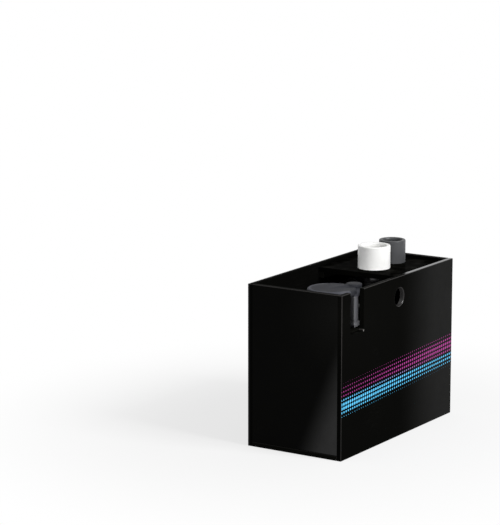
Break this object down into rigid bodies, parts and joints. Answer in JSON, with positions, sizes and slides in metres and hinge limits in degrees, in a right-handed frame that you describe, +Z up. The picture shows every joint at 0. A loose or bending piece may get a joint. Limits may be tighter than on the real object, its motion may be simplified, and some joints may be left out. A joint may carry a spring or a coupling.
{
  "type": "aquarium pump box",
  "caption": "Black open-topped aquarium pump and filter box with a corner pump under a grey round head, a lift-out filter cassette, and drain and return pipe sockets on a deck.",
  "frame": {"origin": "middle of the case's footprint, on the underside of the base", "axes": "+X along the front to the right, +Y from front to back, +Z up"},
  "size_m": [0.228, 0.11, 0.188],
  "materials": {
    "black_sheet": "gloss sheet with flame-polished edges",
    "white_pvc": "semi-gloss",
    "grey_pvc": "satin",
    "pump_grey": "satin, moulded",
    "dark_plastic": "satin, moulded",
    "rubber": "matt",
    "steel": "brushed",
    "copper": "varnished copper wire",
    "ceramic": "ground ceramic",
    "ferrite": "sintered",
    "foam": "open-cell filter foam"
  },
  "bodies": {
    "case": {"base_plate": "black_sheet", "front_panel": "black_sheet", "back_panel": "black_sheet", "left_panel": "black_sheet", "right_panel": "black_sheet", "comb_weir": "black_sheet", "pump_shelf": "black_sheet", "filter_guide": "black_sheet", "cassette_rails": "black_sheet", "deck_ledges": "black_sheet", "pipe_deck": "black_sheet", "drain_socket": "white_pvc", "drain_seal": "rubber", "drain_nut": "dark_plastic", "drain_pipe": "dark_plastic", "return_socket": "grey_pvc", "return_seal": "rubber", "return_nut": "grey_pvc", "return_elbow": "grey_pvc", "delivery_pipe": "grey_pvc", "pipe_clips": "dark_plastic", "pump_casing": "dark_plastic", "motor_can": "dark_plastic", "motor_end_cap": "dark_plastic", "cable_gland": "rubber", "stator_core": "steel", "stator_coils": "copper", "rotor_tube": "dark_plastic", "tube_seal": "rubber", "casing_screws": "steel", "rotor_shaft": "ceramic", "lower_bush": "rubber"},
    "head": {"pump_head": "pump_grey", "head_seal": "rubber", "upper_bush": "rubber", "intake_pipe": "pump_grey", "intake_strainer": "dark_plastic"},
    "rotor": {"impeller": "dark_plastic", "rotor_magnet": "ferrite"},
    "cassette": {"filter_cassette": "dark_plastic", "cassette_screens": "dark_plastic", "cassette_handle": "dark_plastic", "filter_sponge": "foam"}
  },
  "joints": [
    {"name": "head_lift", "type": "slide", "parent": "case", "child": "head", "axis": [0, 0, 1], "range_m": [0, 0.16]},
    {"name": "rotor_spin", "type": "hinge", "parent": "case", "child": "rotor", "pos_m": [-0.0837, -0.0247, 0.1], "axis": [0, 0, 1], "continuous": true},
    {"name": "cassette_lift", "type": "slide", "parent": "case", "child": "cassette", "axis": [0, 0, 1], "range_m": [0, 0.15]}
  ]
}
